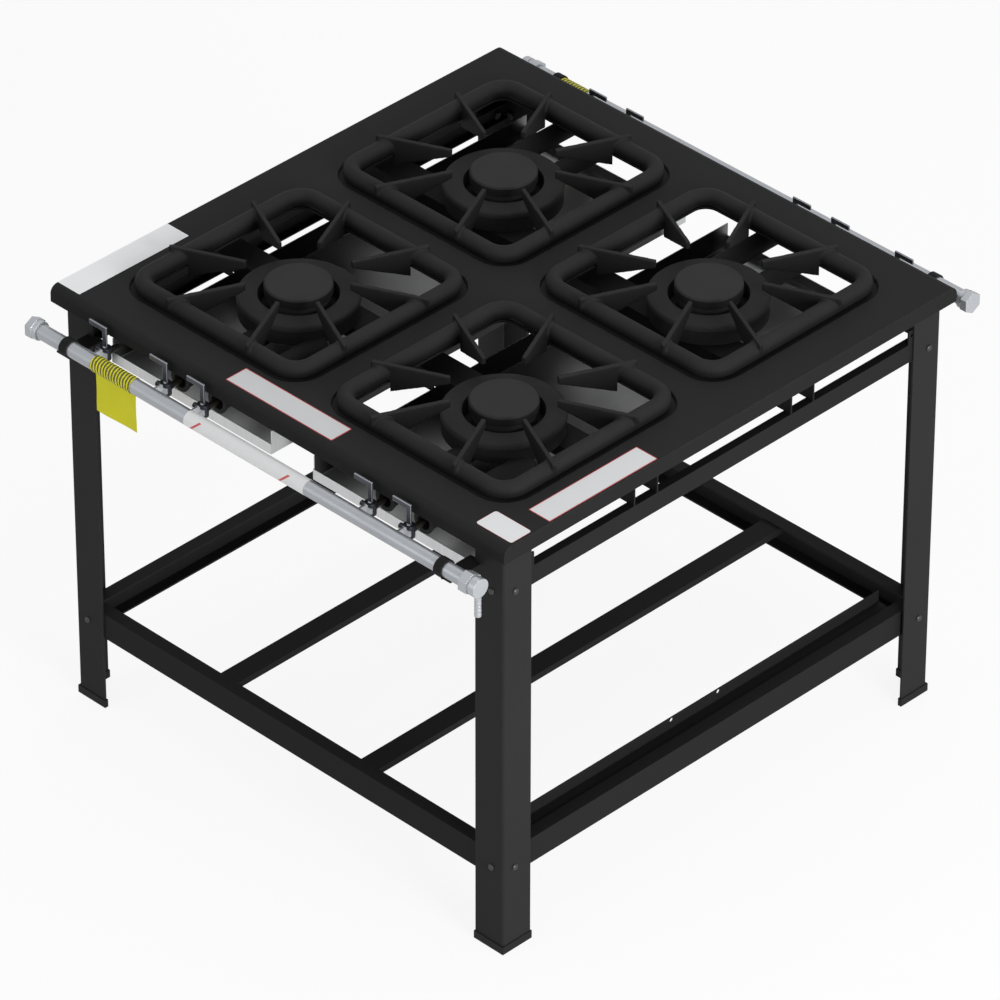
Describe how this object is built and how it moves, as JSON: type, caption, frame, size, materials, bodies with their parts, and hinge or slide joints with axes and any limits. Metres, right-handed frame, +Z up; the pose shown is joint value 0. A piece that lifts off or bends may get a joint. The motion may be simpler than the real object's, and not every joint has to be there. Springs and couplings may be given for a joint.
{
  "type": "four-burner gas stove stand",
  "caption": "Open floor-standing gas stove: an angle-steel frame carries a black top with cast grates and burners, side-fed by two lever-cock gas pipes over long drip trays.",
  "frame": {"origin": "floor level, at the centre of the stand's plan", "axes": "+Z up, +X along the gas pipes towards the front pipe's hose inlet, -Y towards the front pipe"},
  "size_m": [0.83, 0.927, 0.675],
  "materials": {
    "top_black": "matte black powder coat",
    "frame_black": "satin black powder coat",
    "bar_black": "satin black paint",
    "cast_iron": "matte black coated cast iron",
    "crown_iron": "matte black coated cast iron, turned edges",
    "foot_plastic": "moulded black plastic",
    "zinc_steel": "zinc-plated, satin",
    "galvanised": "bright galvanised sheet, rolled grain",
    "cock_metal": "dark plated",
    "lever_steel": "nickel-plated, satin",
    "brass": "machined brass",
    "tag_yellow": "yellow film",
    "bolt_steel": "blackened, satin"
  },
  "bodies": {
    "stand": {"top_sheet": "top_black", "leg_front_left": "frame_black", "leg_front_right": "frame_black", "leg_back_left": "frame_black", "leg_back_right": "frame_black", "foot_caps": "foot_plastic", "lower_rail_front": "frame_black", "lower_rail_back": "frame_black", "lower_rail_left": "frame_black", "lower_rail_right": "frame_black", "upper_rail_left": "frame_black", "upper_rail_right": "frame_black", "shelf_bar_left": "frame_black", "shelf_bar_right": "frame_black", "shelf_edge_strip": "frame_black", "burner_channel_front": "bar_black", "burner_channel_back": "bar_black", "tray_hangers": "bar_black", "burner_front_left": "cast_iron", "burner_front_right": "cast_iron", "burner_back_left": "cast_iron", "burner_back_right": "cast_iron", "manifold_pipe_front": "zinc_steel", "manifold_pipe_back": "zinc_steel", "pipe_end_caps": "zinc_steel", "inlet_front": "zinc_steel", "inlet_back": "zinc_steel", "pipe_brackets": "bar_black", "gas_cocks_front": "cock_metal", "gas_cocks_back": "cock_metal", "injectors": "brass", "hang_tags": "tag_yellow", "bolts": "bolt_steel"},
    "lever_front_1": {"lever_front_1": "lever_steel"},
    "lever_front_2": {"lever_front_2": "lever_steel"},
    "lever_front_3": {"lever_front_3": "lever_steel"},
    "lever_front_4": {"lever_front_4": "lever_steel"},
    "lever_front_5": {"lever_front_5": "lever_steel"},
    "lever_back_1": {"lever_back_1": "lever_steel"},
    "lever_back_2": {"lever_back_2": "lever_steel"},
    "lever_back_3": {"lever_back_3": "lever_steel"},
    "lever_back_4": {"lever_back_4": "lever_steel"},
    "lever_back_5": {"lever_back_5": "lever_steel"},
    "grate_front_left": {"grate_front_left": "cast_iron"},
    "crown_front_left": {"crown_front_left": "crown_iron"},
    "cap_front_left": {"cap_front_left": "crown_iron"},
    "grate_front_right": {"grate_front_right": "cast_iron"},
    "crown_front_right": {"crown_front_right": "crown_iron"},
    "cap_front_right": {"cap_front_right": "crown_iron"},
    "grate_back_left": {"grate_back_left": "cast_iron"},
    "crown_back_left": {"crown_back_left": "crown_iron"},
    "cap_back_left": {"cap_back_left": "crown_iron"},
    "grate_back_right": {"grate_back_right": "cast_iron"},
    "crown_back_right": {"crown_back_right": "crown_iron"},
    "cap_back_right": {"cap_back_right": "crown_iron"},
    "drip_tray_left": {"drip_tray_left": "galvanised"},
    "drip_tray_right": {"drip_tray_right": "galvanised"}
  },
  "joints": [
    {"name": "turn_lever_front_1", "type": "hinge", "parent": "stand", "child": "lever_front_1", "pos_m": [-0.301, -0.425, 0.617], "axis": [0, 0, 1], "range_deg": [0, 90]},
    {"name": "turn_lever_front_2", "type": "hinge", "parent": "stand", "child": "lever_front_2", "pos_m": [-0.1875, -0.425, 0.617], "axis": [0, 0, 1], "range_deg": [0, 90]},
    {"name": "turn_lever_front_3", "type": "hinge", "parent": "stand", "child": "lever_front_3", "pos_m": [-0.1185, -0.425, 0.617], "axis": [0, 0, 1], "range_deg": [0, 90]},
    {"name": "turn_lever_front_4", "type": "hinge", "parent": "stand", "child": "lever_front_4", "pos_m": [0.1875, -0.425, 0.617], "axis": [0, 0, 1], "range_deg": [0, 90]},
    {"name": "turn_lever_front_5", "type": "hinge", "parent": "stand", "child": "lever_front_5", "pos_m": [0.2565, -0.425, 0.617], "axis": [0, 0, 1], "range_deg": [0, 90]},
    {"name": "turn_lever_back_1", "type": "hinge", "parent": "stand", "child": "lever_back_1", "pos_m": [0.301, 0.425, 0.617], "axis": [0, 0, 1], "range_deg": [0, 90]},
    {"name": "turn_lever_back_2", "type": "hinge", "parent": "stand", "child": "lever_back_2", "pos_m": [0.1875, 0.425, 0.617], "axis": [0, 0, 1], "range_deg": [0, 90]},
    {"name": "turn_lever_back_3", "type": "hinge", "parent": "stand", "child": "lever_back_3", "pos_m": [0.1185, 0.425, 0.617], "axis": [0, 0, 1], "range_deg": [0, 90]},
    {"name": "turn_lever_back_4", "type": "hinge", "parent": "stand", "child": "lever_back_4", "pos_m": [-0.1875, 0.425, 0.617], "axis": [0, 0, 1], "range_deg": [0, 90]},
    {"name": "turn_lever_back_5", "type": "hinge", "parent": "stand", "child": "lever_back_5", "pos_m": [-0.2565, 0.425, 0.617], "axis": [0, 0, 1], "range_deg": [0, 90]},
    {"name": "lift_grate_front_left", "type": "slide", "parent": "stand", "child": "grate_front_left", "axis": [0, 0, 1], "range_m": [0, 0.3]},
    {"name": "lift_crown_front_left", "type": "slide", "parent": "stand", "child": "crown_front_left", "axis": [0, 0, 1], "range_m": [0, 0.014]},
    {"name": "lift_cap_front_left", "type": "slide", "parent": "stand", "child": "cap_front_left", "axis": [0, 0, 1], "range_m": [0, 0.1]},
    {"name": "lift_grate_front_right", "type": "slide", "parent": "stand", "child": "grate_front_right", "axis": [0, 0, 1], "range_m": [0, 0.3]},
    {"name": "lift_crown_front_right", "type": "slide", "parent": "stand", "child": "crown_front_right", "axis": [0, 0, 1], "range_m": [0, 0.014]},
    {"name": "lift_cap_front_right", "type": "slide", "parent": "stand", "child": "cap_front_right", "axis": [0, 0, 1], "range_m": [0, 0.1]},
    {"name": "lift_grate_back_left", "type": "slide", "parent": "stand", "child": "grate_back_left", "axis": [0, 0, 1], "range_m": [0, 0.3]},
    {"name": "lift_crown_back_left", "type": "slide", "parent": "stand", "child": "crown_back_left", "axis": [0, 0, 1], "range_m": [0, 0.014]},
    {"name": "lift_cap_back_left", "type": "slide", "parent": "stand", "child": "cap_back_left", "axis": [0, 0, 1], "range_m": [0, 0.1]},
    {"name": "lift_grate_back_right", "type": "slide", "parent": "stand", "child": "grate_back_right", "axis": [0, 0, 1], "range_m": [0, 0.3]},
    {"name": "lift_crown_back_right", "type": "slide", "parent": "stand", "child": "crown_back_right", "axis": [0, 0, 1], "range_m": [0, 0.014]},
    {"name": "lift_cap_back_right", "type": "slide", "parent": "stand", "child": "cap_back_right", "axis": [0, 0, 1], "range_m": [0, 0.1]},
    {"name": "slide_drip_tray_left", "type": "slide", "parent": "stand", "child": "drip_tray_left", "axis": [0, 1, 0], "range_m": [0, 0.21]},
    {"name": "slide_drip_tray_right", "type": "slide", "parent": "stand", "child": "drip_tray_right", "axis": [0, -1, 0], "range_m": [0, 0.21]}
  ]
}
